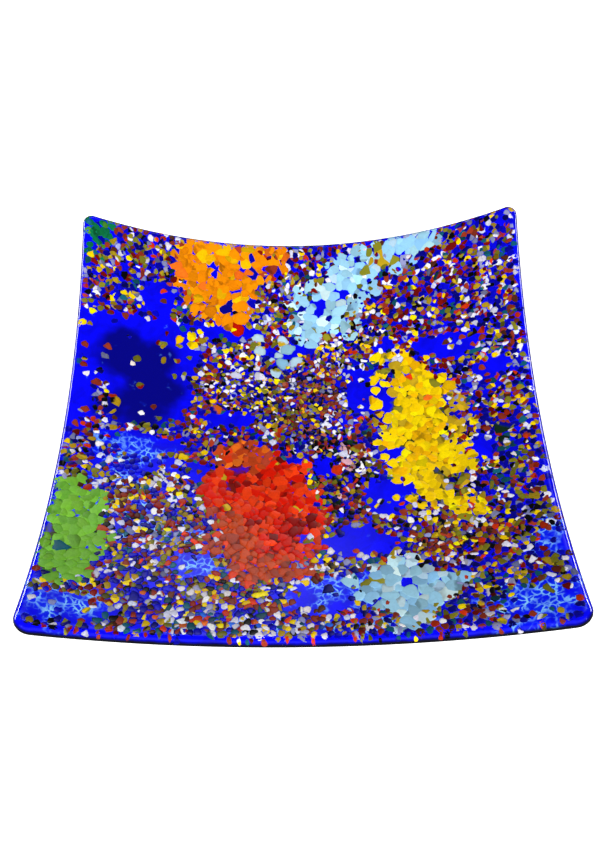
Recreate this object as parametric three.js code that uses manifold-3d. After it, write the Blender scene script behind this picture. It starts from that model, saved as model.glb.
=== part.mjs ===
// A square art glass dish, kiln-fused and slumped: two sheets of cobalt glass under a bed of coloured
// frit. Each lot of frit that the maker laid on the sheets is its own solid. The dish stands on a flat
// foot with its underside at z = 0, its front edge towards -Y and its centre on the Z axis.
import * as THREE from "three";
import { mergeVertices } from "three/addons/utils/BufferGeometryUtils.js";
import Module from "manifold-3d";

const wasm = await Module();
wasm.setup();

// Driving dimensions, in millimetres.
const SIDE = 300; // corner to corner along one edge, over the rounded rim
const BASE_THICKNESS = 2.7; // the cobalt sheet at the bottom
const MIDDLE_THICKNESS = 2.7; // the cobalt sheet that carries the frit
const FRIT_THICKNESS = 2; // the fused frit bed on top
const JOINT_GAP = 0.3; // kept between touching pieces
const EDGE_RISE = 23.5; // how far the middle of an edge stands above the foot
const FOOT_RADIUS = 35; // the flat that the dish rests on
const FRONT_CORNER_RADIUS = 6;
const REAR_CORNER_RADIUS = 2.5;
const FRONT_DRAW_IN = 2; // how far the middle of each edge moved inwards as the sheet sagged
const REAR_DRAW_IN = 1.4;
const SIDE_DRAW_IN = -0.7; // the side edges bellied outwards instead

// Fineness of the faceted surfaces.
const SIDE_STEPS = 10;
const CORNER_STEPS = 3;
const RINGS = 6;
const RIM_STEPS = 2;
const LOT_STEPS = 20;

// The lots of frit, as the maker's full-size pattern gives them for a sheet of PATTERN_SIDE: centre x, y,
// half width, half depth and turn in degrees, all seen from above. The pattern is enlarged or reduced
// with the sheet. A later lot gives way to an earlier one where they meet.
const PATTERN_SIDE = 300;
const LOTS = [
  { name: "dark_green_shard", at: [127, -7], half: [9, 3.2], turn: 4, uneven: 0.04, colour: 0x16321f },
  { name: "emerald_corner_pool", at: [-142, 140], half: [15, 16], turn: 0, uneven: 0.04, colour: 0x14824a },
  { name: "amber_pool", at: [-57, 123], half: [32, 31], turn: 0, uneven: 0.07, colour: 0xffa500 },
  { name: "pale_blue_rear_pool", at: [27, 105], half: [24, 32], turn: -24, uneven: 0.07, colour: 0xb9e6fa },
  { name: "pale_blue_rim_pool", at: [77, 140], half: [22, 11], turn: 0, uneven: 0.05, colour: 0xb9e6fa },
  { name: "pale_blue_trail", at: [-8, 66], half: [19, 7], turn: 38, uneven: 0.05, colour: 0xcfeaf8 },
  { name: "yellow_pool", at: [79, -5], half: [26, 62], turn: 8, uneven: 0.07, colour: 0xffd700 },
  { name: "red_pool", at: [-25, -57], half: [34, 50], turn: 10, uneven: 0.07, colour: 0xe13210 },
  { name: "lime_pool", at: [-134, -85], half: [18, 38], turn: 0, uneven: 0.07, colour: 0x73c83c },
  { name: "pale_blue_front_pool", at: [58, -114], half: [29, 18], turn: -12, uneven: 0.07, colour: 0xb9e6fa },
  { name: "navy_pool", at: [-107, 38], half: [27, 37], turn: 0, uneven: 0.05, colour: 0x000096 },
  { name: "brown_mix", at: [-18, 30], half: [42, 22], turn: 6, uneven: 0.06, colour: 0x8a4a3a },
  { name: "dark_mix", at: [30, -27], half: [19, 29], turn: 0, uneven: 0.06, colour: 0x2a2230 },
  { name: "rear_left_mix", at: [-116, 107], half: [22, 25], turn: 0, uneven: 0.06, colour: 0x8c2a22 },
  { name: "rear_middle_mix", at: [-12, 116], half: [9, 25], turn: -12, uneven: 0.05, colour: 0xa05040 },
  { name: "rear_right_mix", at: [106, 92], half: [36, 28], turn: 0, uneven: 0.06, colour: 0x8c1c1c },
  { name: "right_mix", at: [129, 8], half: [15, 46], turn: 0, uneven: 0.06, colour: 0x9a4232 },
  { name: "front_right_mix", at: [100, -86], half: [36, 15], turn: 8, uneven: 0.06, colour: 0xa85038 },
  { name: "front_left_mix", at: [-87, -72], half: [21, 33], turn: 0, uneven: 0.06, colour: 0x9c5a4a },
  { name: "left_mix", at: [-111, -22], half: [30, 13], turn: 0, uneven: 0.05, colour: 0x2878f0 },
  { name: "front_mix", at: [-42, -129], half: [66, 11], turn: 0, uneven: 0.05, colour: 0x9c4a3a },
];

const THICKNESS = BASE_THICKNESS + MIDDLE_THICKNESS + FRIT_THICKNESS + 2 * JOINT_GAP;
const HALF = THICKNESS / 2;
const BASE_TOP = BASE_THICKNESS - HALF; // depths are measured from the middle of the glass
const FRIT_UNDERSIDE = HALF - FRIT_THICKNESS;
const RIM_LINE = SIDE / 2 - HALF; // where the half-round rim starts
const PATTERN_SCALE = SIDE / PATTERN_SIDE;
const ABOVE_EVERYTHING = 4 * EDGE_RISE + THICKNESS;

// Height of the middle of the glass above the foot's own middle, at plan point (x, y).
function rise(x, y) {
  const past = Math.max(0, Math.hypot(x, y) - FOOT_RADIUS) / (RIM_LINE - FOOT_RADIUS);
  return EDGE_RISE * past ** 2;
}

function normalAt(x, y) {
  const out = Math.hypot(x, y);
  const past = Math.max(0, out - FOOT_RADIUS) / (RIM_LINE - FOOT_RADIUS) ** 2;
  const slope = 2 * EDGE_RISE * past;
  return new THREE.Vector3(-slope * (x / out || 0), -slope * (y / out || 0), 1).normalize();
}

// The point a distance depth above the middle of the glass, measured along its normal.
function shellPoint(x, y, depth) {
  return new THREE.Vector3(x, y, HALF + rise(x, y)).addScaledVector(normalAt(x, y), depth);
}

// One edge of the plan outline, from one corner arc to the next, counterclockwise.
function edgePoints(from, to, drawIn) {
  const along = to.clone().sub(from);
  const inwards = new THREE.Vector2(-along.y, along.x).normalize();
  return Array.from({ length: SIDE_STEPS }, (_, i) => {
    const share = i / SIDE_STEPS;
    const sag = drawIn * (1 - (2 * share - 1) ** 2);
    const point = from.clone().addScaledVector(along, share).addScaledVector(inwards, sag);
    return { point, outwards: inwards.clone().negate() };
  });
}

function cornerPoints(centre, radius, startAngle) {
  return Array.from({ length: CORNER_STEPS }, (_, i) => {
    const angle = startAngle + ((Math.PI / 2) * i) / CORNER_STEPS;
    const outwards = new THREE.Vector2(Math.cos(angle), Math.sin(angle));
    return { point: centre.clone().addScaledVector(outwards, radius), outwards };
  });
}

// The rim line seen from above: four bowed edges and four corner arcs, counterclockwise.
function rimOutline() {
  const front = RIM_LINE - FRONT_CORNER_RADIUS;
  const rear = RIM_LINE - REAR_CORNER_RADIUS;
  const v = (x, y) => new THREE.Vector2(x, y);
  return [
    ...edgePoints(v(RIM_LINE, -front), v(RIM_LINE, rear), SIDE_DRAW_IN),
    ...cornerPoints(v(rear, rear), REAR_CORNER_RADIUS, 0),
    ...edgePoints(v(rear, RIM_LINE), v(-rear, RIM_LINE), REAR_DRAW_IN),
    ...cornerPoints(v(-rear, rear), REAR_CORNER_RADIUS, Math.PI / 2),
    ...edgePoints(v(-RIM_LINE, rear), v(-RIM_LINE, -front), SIDE_DRAW_IN),
    ...cornerPoints(v(-front, -front), FRONT_CORNER_RADIUS, Math.PI),
    ...edgePoints(v(-front, -RIM_LINE), v(front, -RIM_LINE), FRONT_DRAW_IN),
    ...cornerPoints(v(front, -front), FRONT_CORNER_RADIUS, 1.5 * Math.PI),
  ];
}

const outline = rimOutline();

// A ring of the surface at one depth: a circle inside the foot, blending into the outline beyond it.
function surfaceRing(depth, share) {
  return outline.map(({ point }) => {
    const onFoot = point.clone().setLength(FOOT_RADIUS * Math.min(1, 1 + share));
    const place = share > 0 ? onFoot.lerp(point, share) : onFoot;
    return shellPoint(place.x, place.y, depth);
  });
}

// A ring of the half-round rim, at one depth.
function rimRing(depth) {
  const reach = Math.sqrt(Math.max(0, HALF ** 2 - depth ** 2));
  return outline.map(({ point, outwards }) => {
    const normal = normalAt(point.x, point.y);
    const away = new THREE.Vector3(outwards.x, outwards.y, 0).projectOnPlane(normal).normalize();
    return shellPoint(point.x, point.y, depth).addScaledVector(away, reach);
  });
}

// One layer of the dish, between two depths, as a closed mesh.
function layerGeometry(low, high) {
  const shares = [-0.5, ...Array.from({ length: RINGS }, (_, i) => i / RINGS)];
  const startAngle = Math.asin(Math.max(-1, low / HALF));
  const endAngle = Math.asin(Math.min(1, high / HALF));
  const rim = Array.from({ length: RIM_STEPS + 1 }, (_, i) =>
    rimRing(HALF * Math.sin(startAngle + ((endAngle - startAngle) * i) / RIM_STEPS)),
  );
  const rings = [
    ...shares.map((share) => surfaceRing(low, share)),
    ...rim,
    ...shares.map((share) => surfaceRing(high, share)).reverse(),
  ];
  const count = outline.length;
  const points = [shellPoint(0, 0, low), ...rings.flat(), shellPoint(0, 0, high)];
  const last = points.length - 1;
  const index = [];
  for (let k = 0; k < count; k += 1) {
    const next = (k + 1) % count;
    index.push(0, 1 + next, 1 + k);
    for (let r = 0; r < rings.length - 1; r += 1) {
      const a = 1 + r * count + k;
      const b = 1 + r * count + next;
      const [c, d] = [b + count, a + count];
      // Each facet is split the same way above and below, so that two layers keep their gap.
      if (r < rings.length / 2) index.push(a, b, c, a, c, d);
      else index.push(a, b, d, b, c, d);
    }
    index.push(last, last - count + k, last - count + next);
  }
  const geometry = new THREE.BufferGeometry().setFromPoints(points);
  return geometry.setIndex(index);
}

function toSolid(geometry) {
  const bare = geometry.clone();
  bare.deleteAttribute("normal");
  bare.deleteAttribute("uv");
  const merged = mergeVertices(bare, 1e-4);
  const vertProperties = merged.attributes.position.array;
  const triVerts = new Uint32Array(merged.index.array);
  return new wasm.Manifold(new wasm.Mesh({ numProp: 3, vertProperties, triVerts }));
}

function toMesh(solid, name, colour) {
  const { vertProperties, triVerts } = solid.getMesh();
  const geometry = new THREE.BufferGeometry();
  geometry.setAttribute("position", new THREE.BufferAttribute(vertProperties, 3));
  geometry.setIndex(new THREE.BufferAttribute(triVerts, 1));
  geometry.computeVertexNormals();
  const material = new THREE.MeshStandardMaterial({ color: colour, roughness: 0.12, metalness: 0 });
  const mesh = new THREE.Mesh(geometry, material);
  mesh.name = name;
  return mesh;
}

// An upright cutter with the plan outline of a lot, an oval made uneven by two waves, grown by margin.
function lotCutter({ at, half, turn, uneven }, margin) {
  const shape = new THREE.Shape();
  for (let i = 0; i < LOT_STEPS; i += 1) {
    const angle = (2 * Math.PI * i) / LOT_STEPS;
    const wave = 1 + uneven * (Math.sin(3 * angle + at[0]) + 0.5 * Math.sin(5 * angle + at[1]));
    const x = (half[0] * wave * PATTERN_SCALE + margin) * Math.cos(angle);
    const y = (half[1] * wave * PATTERN_SCALE + margin) * Math.sin(angle);
    const point = new THREE.Vector2(x, y).rotateAround(new THREE.Vector2(), THREE.MathUtils.degToRad(turn));
    shape[i ? "lineTo" : "moveTo"](point.x + at[0] * PATTERN_SCALE, point.y + at[1] * PATTERN_SCALE);
  }
  const upright = new THREE.ExtrudeGeometry(shape, { depth: 2 * ABOVE_EVERYTHING, bevelEnabled: false });
  return toSolid(upright.translate(0, 0, -ABOVE_EVERYTHING));
}

const dish = new THREE.Group();
const baseSheet = toSolid(layerGeometry(-HALF, BASE_TOP));
dish.add(toMesh(baseSheet, "base_sheet", 0x0a1478));
const middleSheet = toSolid(layerGeometry(BASE_TOP + JOINT_GAP, FRIT_UNDERSIDE - JOINT_GAP));
dish.add(toMesh(middleSheet, "middle_sheet", 0x0a1eb4));

// The frit bed is shared out lot by lot, and the cobalt frit fills what is left.
let bed = toSolid(layerGeometry(FRIT_UNDERSIDE, HALF));
for (const lot of LOTS) {
  const solid = bed.intersect(lotCutter(lot, -JOINT_GAP / 2));
  bed = bed.subtract(lotCutter(lot, JOINT_GAP / 2));
  dish.add(toMesh(solid, lot.name, lot.colour));
}
dish.add(toMesh(bed, "cobalt_bed", 0x0a14e6));

export default dish;
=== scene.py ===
# %% [markdown]
# # A fused glass dish, grain by grain
# The dish is two sheets of cobalt glass with a bed of crushed coloured glass, called frit, melted on top
# and then sagged over a mould. The CAD model holds its size, its shape and where each lot of frit lies.
# This script keeps those as they are and makes what the eye sees: every grain of frit as its own small
# body of glass, the smooth cobalt glass round them, and the light that they are seen in.

# %% Load the fixed frame
import math

import bpy
import numpy as np
from mathutils import Matrix, Vector
from mathutils.bvhtree import BVHTree
from mathutils.kdtree import KDTree


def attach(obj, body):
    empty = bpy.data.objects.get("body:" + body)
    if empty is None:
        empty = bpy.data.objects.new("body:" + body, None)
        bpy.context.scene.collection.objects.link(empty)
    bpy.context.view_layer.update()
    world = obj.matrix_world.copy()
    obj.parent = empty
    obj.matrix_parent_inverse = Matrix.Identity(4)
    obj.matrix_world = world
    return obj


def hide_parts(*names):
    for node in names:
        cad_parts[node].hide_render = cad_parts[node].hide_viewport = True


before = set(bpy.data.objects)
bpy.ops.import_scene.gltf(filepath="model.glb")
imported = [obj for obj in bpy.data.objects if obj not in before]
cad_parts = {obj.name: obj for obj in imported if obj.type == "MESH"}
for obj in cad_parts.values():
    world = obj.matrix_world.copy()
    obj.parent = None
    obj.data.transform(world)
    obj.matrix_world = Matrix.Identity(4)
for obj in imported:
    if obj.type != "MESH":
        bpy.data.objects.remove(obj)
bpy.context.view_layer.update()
print("nodes:", sorted(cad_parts))

# %% [markdown]
# ## The shape of the glass
# A slumped sheet has one thickness everywhere, so one surface describes the whole dish: the middle of
# the glass. It is flat over the foot and rises with the square of the distance beyond it. Everything
# else is that surface moved along its normal. These sizes are the CAD model's own, in millimetres.

# %% Sizes of the dish
MM = 0.001
HALF = 4.0  # half the thickness of the glass
RIM_LINE = 150.0 - HALF  # where the half-round rim starts, from the middle of the dish
EDGE_RISE = 23.5
FOOT_RADIUS = 35.0
FRONT_CORNER, REAR_CORNER = 6.0, 2.5
FRONT_DRAW_IN, REAR_DRAW_IN, SIDE_DRAW_IN = 2.0, 1.4, -0.7


def rise(x, y):
    """Height of the middle of the glass over the foot's own middle."""
    past = np.maximum(0, np.hypot(x, y) - FOOT_RADIUS) / (RIM_LINE - FOOT_RADIUS)
    return EDGE_RISE * past**2


def normals(x, y):
    """Unit normals of the middle surface, as an array of rows."""
    out = np.maximum(np.hypot(x, y), 1e-6)
    slope = 2 * EDGE_RISE * np.maximum(0, out - FOOT_RADIUS) / (RIM_LINE - FOOT_RADIUS) ** 2
    n = np.stack([-slope * x / out, -slope * y / out, np.ones_like(out)], -1)
    return n / np.linalg.norm(n, axis=-1, keepdims=True)


print("height at the middle of an edge:", round(float(rise(RIM_LINE, 0)), 2), "mm")

# %% [markdown]
# The grains run over the rim and down its outside. To lay them there, the sheet is treated as if it
# were flat and larger than it is: a point past the rim line wraps round the half-round edge by as much
# as it is past. The alternative is to model the rim's grains apart, which leaves a seam.

# %% From the flat sheet to the dish
def rim_distance(u, v):
    """Distance past the rim line, negative inside it, and the outward direction there."""
    radius = np.where(v < 0, FRONT_CORNER, REAR_CORNER)
    qx = np.abs(u) - (RIM_LINE - radius)
    qy = np.abs(v) - (RIM_LINE - radius)
    corner = (qx > 0) & (qy > 0)
    length = np.maximum(np.hypot(qx, qy), 1e-9)
    gx = np.where(corner, qx / length, (qx > qy) * 1.0) * np.where(u < 0, -1, 1)
    gy = np.where(corner, qy / length, (qx <= qy) * 1.0) * np.where(v < 0, -1, 1)
    past = np.where(corner, length, np.maximum(qx, qy)) - radius
    return past, gx, gy


def drawn_in(u, v):
    """Moves plan points as the edges moved when the sheet sagged."""
    along_u = np.maximum(0, 1 - (u / RIM_LINE) ** 2)
    along_v = np.maximum(0, 1 - (v / RIM_LINE) ** 2)
    draw_v = np.where(v < 0, FRONT_DRAW_IN, REAR_DRAW_IN)
    x = u - np.sign(u) * SIDE_DRAW_IN * along_v * np.abs(u / RIM_LINE) ** 3
    y = v - np.sign(v) * draw_v * along_u * np.abs(v / RIM_LINE) ** 3
    return x, y


def outward(gx, gy, n):
    """The plan direction (gx, gy) laid along the sheet, square to its normals n."""
    away = np.stack([gx, gy, np.zeros_like(gx)], -1)
    away = away - n * (away * n).sum(-1, keepdims=True)
    return away / np.linalg.norm(away, axis=-1, keepdims=True)


def on_dish(u, v, lift):
    """Points of the dish, in metres, for sheet points (u, v) a distance lift above its skin."""
    u, v, lift = np.broadcast_arrays(np.asarray(u, float), v, lift)
    past, gx, gy = rim_distance(u, v)
    over = np.maximum(0, past)
    x, y = drawn_in(u - over * gx, v - over * gy)
    n = normals(x, y)
    angle = (over / HALF)[..., None]
    middle = np.stack([x, y, HALF + rise(x, y)], -1)
    reach = (HALF + lift)[..., None]
    return MM * (middle + reach * (np.cos(angle) * n + np.sin(angle) * outward(gx, gy, n)))


print("rim's top at a side:", on_dish(RIM_LINE, 0.0, 0.0).round(4))

# %% [markdown]
# ## Camera
# The camera stands in front of the dish and looks down into it, close enough for the front edge to be
# clearly larger than the rear one. It comes first, so that every later step can be looked at.

# %% Camera
CAMERA_AZIMUTH = math.radians(1.8)
CAMERA_ELEVATION = math.radians(57.5)
CAMERA_ROLL = math.radians(-2.5)
CAMERA_DISTANCE = 0.5724
CAMERA_TARGET = Vector((-0.0013, 0.0072, 0.004))
CAMERA_LENS = 36.35  # mm, on a sensor whose long side is 36 mm

across = math.cos(CAMERA_ELEVATION)
backwards = Vector((math.sin(CAMERA_AZIMUTH) * across, -math.cos(CAMERA_AZIMUTH) * across,
                    math.sin(CAMERA_ELEVATION)))
level = Vector((0, 0, 1)).cross(backwards).normalized()
upright = backwards.cross(level)
turn = Matrix((level, upright, backwards)).transposed() @ Matrix.Rotation(CAMERA_ROLL, 3, "Z")
camera = bpy.data.objects.new("camera", bpy.data.cameras.new("camera"))
camera.data.lens = CAMERA_LENS
camera.matrix_world = Matrix.Translation(CAMERA_TARGET + CAMERA_DISTANCE * backwards) @ turn.to_4x4()
bpy.context.scene.collection.objects.link(camera)
bpy.context.scene.camera = camera
print("camera at", [round(c, 3) for c in camera.matrix_world.translation])

# %% [markdown]
# ## The colours of the glass
# Frit is sold by colour, and a maker keeps each in its own jar. Naming the colours once, as a jar
# would be labelled, keeps every mix below readable.

# %% Jars of frit
JARS = {
    "yellow": "#ffd400", "gold": "#f2b600", "mustard": "#c8a41c", "olive": "#8e8a22",
    "amber": "#ff9000", "orange": "#f2701a", "red_orange": "#ea3a0c", "scarlet": "#d81600",
    "rust": "#c44418", "brick": "#ac3c24", "dark_red": "#860c08", "brown": "#6e3420", "rose": "#b8604c",
    "white": "#e8e6f8", "lavender": "#a8ace0", "ice": "#c6e8fa", "pale_blue": "#9cd4f4",
    "sky": "#1c6cf4", "cobalt": "#0202e8", "navy": "#000090", "lime": "#78c038", "leaf": "#4c8c2c",
    "emerald": "#0a7a48", "teal": "#14647c", "dark_green": "#10301c", "black": "#06040c",
    "pink": "#f0b4c0",
}


def linear(code):
    """A colour written as a web code, in the linear numbers that shaders use."""
    parts = np.array([int(code[i:i + 2], 16) / 255 for i in (1, 3, 5)])
    return np.where(parts <= 0.04045, parts / 12.92, ((parts + 0.055) / 1.055) ** 2.4)


GLASS = {name: linear(code) for name, code in JARS.items()}
print(len(GLASS), "colours of frit")

# %% [markdown]
# ## What each lot holds
# A pool is one colour with a few strays. A mix is a handful of everything, and much of it is cobalt
# too. Grain is the usual width of a grain in millimetres, cover is the share of places that hold a
# grain rather than bare glass, and melt is how far the grains of one colour ran together.

# %% The lots
WARM = {"brick": 10, "dark_red": 6, "red_orange": 5, "mustard": 8, "olive": 11, "yellow": 5,
        "white": 10, "lavender": 6, "brown": 5, "black": 6, "teal": 6, "cobalt": 15, "navy": 12}
REDS = {"dark_red": 14, "brick": 7, "red_orange": 5, "mustard": 6, "olive": 5, "yellow": 4,
        "white": 6, "lavender": 6, "teal": 5, "black": 7, "brown": 3, "cobalt": 20, "navy": 15}
LOTS = {
    "cobalt_bed": dict(grain=4.4, cover=0.95, melt=0.1, mix=WARM),
    "amber_pool": dict(grain=8.2, cover=0.95, melt=0.7,
                       mix={"amber": 70, "gold": 17, "orange": 8, "brick": 2, "cobalt": 3}),
    "pale_blue_rear_pool": dict(grain=8.0, cover=0.95, melt=0.8,
                                mix={"pale_blue": 74, "ice": 16, "olive": 3, "mustard": 3, "cobalt": 4}),
    "pale_blue_rim_pool": dict(grain=8.0, cover=0.95, melt=0.8,
                               mix={"pale_blue": 72, "ice": 20, "lavender": 3, "olive": 2, "cobalt": 3}),
    "pale_blue_trail": dict(grain=6.0, cover=0.3, melt=0.2, mix={"ice": 60, "pale_blue": 35, "mustard": 5}),
    "yellow_pool": dict(grain=7.2, cover=0.97, melt=0.7,
                        mix={"yellow": 75, "gold": 12, "mustard": 8, "olive": 5}),
    "red_pool": dict(grain=6.6, cover=0.98, melt=0.55,
                     mix={"scarlet": 56, "red_orange": 34, "dark_red": 7, "black": 1, "mustard": 2}),
    "lime_pool": dict(grain=7.0, cover=0.96, melt=0.8, mix={"lime": 93, "leaf": 7}),
    "pale_blue_front_pool": dict(grain=8.6, cover=0.97, melt=0.75,
                                 mix={"pale_blue": 72, "ice": 26, "olive": 2}),
    "navy_pool": dict(grain=5.0, cover=0.0, melt=0.0,
                      mix={"mustard": 30, "brick": 26, "lavender": 22, "olive": 22}),
    "emerald_corner_pool": dict(grain=5.2, cover=0.85, melt=0.5,
                                mix={"emerald": 46, "teal": 20, "leaf": 12, "mustard": 6, "cobalt": 16}),
    "dark_green_shard": dict(grain=9.0, cover=0.0, melt=0.0, mix={"dark_green": 1}),
    "brown_mix": dict(grain=3.6, cover=0.93, melt=0.15,
                      mix={"brown": 15, "brick": 13, "white": 12, "yellow": 6, "olive": 13, "gold": 2,
                           "mustard": 6, "black": 9, "lavender": 5, "rose": 3, "cobalt": 9, "navy": 11}),
    "dark_mix": dict(grain=4.1, cover=0.93, melt=0.1,
                     mix={"black": 18, "brick": 13, "red_orange": 9, "mustard": 9, "white": 8,
                          "dark_green": 6, "brown": 8, "olive": 8, "pink": 2, "navy": 12, "cobalt": 7}),
    "rear_left_mix": dict(grain=4.8, cover=0.97, melt=0.1, mix=WARM),
    "rear_middle_mix": dict(grain=4.4, cover=0.96, melt=0.1, mix=WARM),
    "rear_right_mix": dict(grain=4.4, cover=0.97, melt=0.1, mix=REDS),
    "right_mix": dict(grain=4.6, cover=0.96, melt=0.1, mix=WARM),
    "front_right_mix": dict(grain=4.3, cover=0.97, melt=0.15,
                            mix={"brick": 16, "brown": 11, "mustard": 10, "yellow": 8, "white": 9,
                                 "lavender": 6, "olive": 12, "red_orange": 5, "black": 6, "navy": 9,
                                 "cobalt": 7}),
    "front_left_mix": dict(grain=4.5, cover=0.95, melt=0.1, mix=WARM),
    "left_mix": dict(grain=4.4, cover=0.5, melt=0.1, mix=WARM),
    "front_mix": dict(grain=4.7, cover=0.95, melt=0.1,
                      mix={"brick": 10, "orange": 7, "red_orange": 7, "yellow": 10, "mustard": 7,
                           "white": 16, "lavender": 7, "brown": 6, "teal": 3, "black": 3,
                           "cobalt": 18, "sky": 7}),
}
for name, lot in LOTS.items():
    share = np.array(list(lot["mix"].values()), float)
    lot["jars"] = list(lot["mix"])
    lot["share"] = share / share.sum()
print(len(LOTS), "lots")

# %% [markdown]
# A hand that pours frit also spills it. These soft ovals are the spills round the pools: the lot, the
# centre, the half width and half depth in millimetres, and how thickly the grains lie. Other ovals
# mark the places that were left bare, which show as calm, clear blue, and the places where the
# cobalt is broken small, so that light runs between its grains as pale seams.

# %% Spills, bare patches and pale seams
SPILLS = [
    ("amber_pool", -76, 139, 14, 9, 0.85), ("amber_pool", -19, 138, 9, 10, 0.8),
    ("amber_pool", -78, 127, 10, 7, 0.8), ("amber_pool", -54, 106, 14, 8, 0.6),
    ("pale_blue_rear_pool", 12, 84, 20, 9, 0.8), ("pale_blue_rear_pool", 48, 136, 16, 11, 0.85),
    ("pale_blue_rear_pool", 36, 122, 22, 16, 0.9), ("pale_blue_rear_pool", 2, 100, 12, 16, 0.35),
    ("yellow_pool", 56, 56, 7, 6, 0.8), ("yellow_pool", 52, 41, 6, 8, 0.8),
    ("yellow_pool", 70, 48, 9, 10, 0.9), ("yellow_pool", 96, 36, 7, 8, 0.85),
    ("yellow_pool", 54, -4, 8, 12, 0.8), ("yellow_pool", 105, -2, 8, 7, 0.6),
    ("yellow_pool", 104, 18, 6, 9, 0.6), ("yellow_pool", 61, -32, 5, 5, 0.9),
    ("yellow_pool", 99, -62, 14, 7, 0.85),
    ("right_mix", 101, -12, 11, 12, 0.5), ("right_mix", 99, -42, 8, 12, 0.6),
    ("rear_right_mix", 93, 46, 9, 8, 0.7), ("front_right_mix", 64, -52, 8, 7, 0.6),
    ("red_pool", -43, -14, 12, 14, 0.9), ("red_pool", 4, -52, 10, 18, 0.6),
    ("red_pool", 6, -86, 12, 9, 0.85), ("red_pool", -22, -100, 26, 9, 0.85),
    ("red_pool", -12, -30, 12, 10, 0.5), ("red_pool", -54, -80, 9, 10, 0.5),
    ("lime_pool", -142, -56, 9, 13, 0.9), ("lime_pool", -134, -100, 16, 18, 0.85),
    ("brown_mix", 14, 50, 22, 22, 0.9), ("brown_mix", 10, 14, 24, 22, 0.85),
    ("brown_mix", -50, 40, 18, 16, 0.7), ("dark_mix", 14, -2, 18, 14, 0.5),
    ("dark_mix", 24, -62, 14, 12, 0.5), ("dark_mix", 48, 78, 24, 10, 0.35),
    ("rear_right_mix", 66, 96, 32, 24, 0.9), ("front_right_mix", 76, -76, 18, 16, 0.9),
    ("pale_blue_front_pool", 38, -104, 9, 6, 0.7), ("pale_blue_front_pool", 58, -134, 8, 7, 0.8),
]
TONES = [  # parts of a pool that were poured from another jar
    ("red_pool", -38, -12, 22, 18, {"rust": 62, "orange": 14, "red_orange": 16, "brick": 8}),
    ("red_pool", -52, -84, 26, 28, {"rust": 52, "brick": 22, "red_orange": 26}),
    ("red_pool", -14, -102, 34, 13, {"rust": 58, "brick": 20, "red_orange": 22}),
    ("yellow_pool", 103, 16, 10, 14, {"mustard": 60, "gold": 30, "olive": 10}),
    ("yellow_pool", 84, -8, 12, 12, {"gold": 70, "yellow": 25, "mustard": 5}),
    ("amber_pool", -60, 140, 16, 9, {"gold": 55, "amber": 40, "orange": 5}),
    ("front_mix", -118, -132, 34, 14, {"cobalt": 84, "brick": 6, "mustard": 5, "white": 5}),
    ("front_mix", 118, -134, 34, 14, {"cobalt": 80, "brick": 7, "mustard": 7, "white": 6}),
    ("left_mix", -112, -14, 34, 14, {"cobalt": 78, "sky": 6, "white": 6, "mustard": 4, "brick": 6}),
    ("left_mix", -110, -44, 26, 20, {"cobalt": 72, "sky": 8, "white": 8, "mustard": 6, "brick": 6}),
]
BARE_PATCHES = [
    (-135, 62, 16, 26), (-110, 78, 34, 9), (-144, 20, 9, 26), (-82, 58, 12, 22), (-84, 30, 10, 18),
    (-48, 82, 22, 6), (44, 30, 15, 16), (36, 46, 8, 6), (52, -48, 13, 13), (34, -80, 24, 11),
    (14, -24, 9, 9), (-66, -29, 7, 9), (-100, -10, 28, 7), (-62, -97, 14, 9), (-46, 12, 18, 7),
    (100, 62, 24, 9), (128, 40, 12, 7), (115, -20, 7, 8), (-100, 100, 12, 14), (128, -134, 20, 12),
    (-130, -134, 22, 10), (60, 68, 8, 6), (142, -94, 7, 10), (16, -118, 22, 12),
]
POOL_GAPS = [
    (-43, -26, 7, 3.4), (30, 112, 6, 4), (14, 104, 5, 6), (57, 23, 6, 9), (104, 36, 4, 5),
    (61, -16, 6, 4), (66, -44, 6, 8), (-48, 114, 5, 4), (-66, 130, 4, 4), (9, -34, 7, 7),
    (-62, -60, 4, 8), (58, -111, 5, 4), (-136, -93, 6, 2.5), (2, -76, 4, 5), (32, 104, 3, 3),
]
SEAM_PATCHES = [
    (-112, -16, 28, 13), (-112, -50, 28, 20), (-128, -126, 28, 17), (120, -130, 34, 17),
    (-62, -98, 20, 12), (-40, -137, 70, 6), (40, -137, 50, 6),
    (136, -88, 14, 16), (-84, -76, 26, 16), (20, -112, 26, 16),
]


def patches(ovals, x, y, softness=0.25):
    """How far inside any of these ovals each point is, from 0 outside to 1 inside."""
    inside = np.zeros(np.broadcast(x, y).shape)
    for cx, cy, half_x, half_y in ovals:
        out = np.hypot((x - cx) / half_x, (y - cy) / half_y)
        inside = np.maximum(inside, np.clip((1 + softness - out) / (2 * softness), 0, 1))
    return inside


# %% [markdown]
# ## Finding the lot under a place
# The CAD solids say where each lot lies, so a ray is dropped onto them from above. The place is first
# moved a few millimetres: a slow wave bends the outlines of the pools, and a random step scatters
# their edges, as loose grains roll before they melt.

# %% Lot finder
rng = np.random.default_rng(7)
ROLL = 1.8  # mm, how far a grain rolls
BEND = 4.0  # mm, how far the outline of a pool wanders
corners, faces, owners = [], [], []
for name in LOTS:
    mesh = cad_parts[name].data
    faces += [[len(corners) + i for i in face.vertices] for face in mesh.polygons]
    owners += [name] * len(mesh.polygons)
    corners += [vertex.co.copy() for vertex in mesh.vertices]
bed_tree = BVHTree.FromPolygons(corners, faces)
DOWN = Vector((0, 0, -1))


def lot_under(u, v):
    """The name of the CAD lot under this place of the sheet."""
    past, gx, gy = rim_distance(u, v)
    over = max(0.0, float(past) + 1.5)
    x, y = drawn_in(u - over * gx, v - over * gy)
    hit = bed_tree.ray_cast(Vector((float(x) * MM, float(y) * MM, 1.0)), DOWN)
    return "cobalt_bed" if hit[2] is None else owners[hit[2]]


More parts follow.
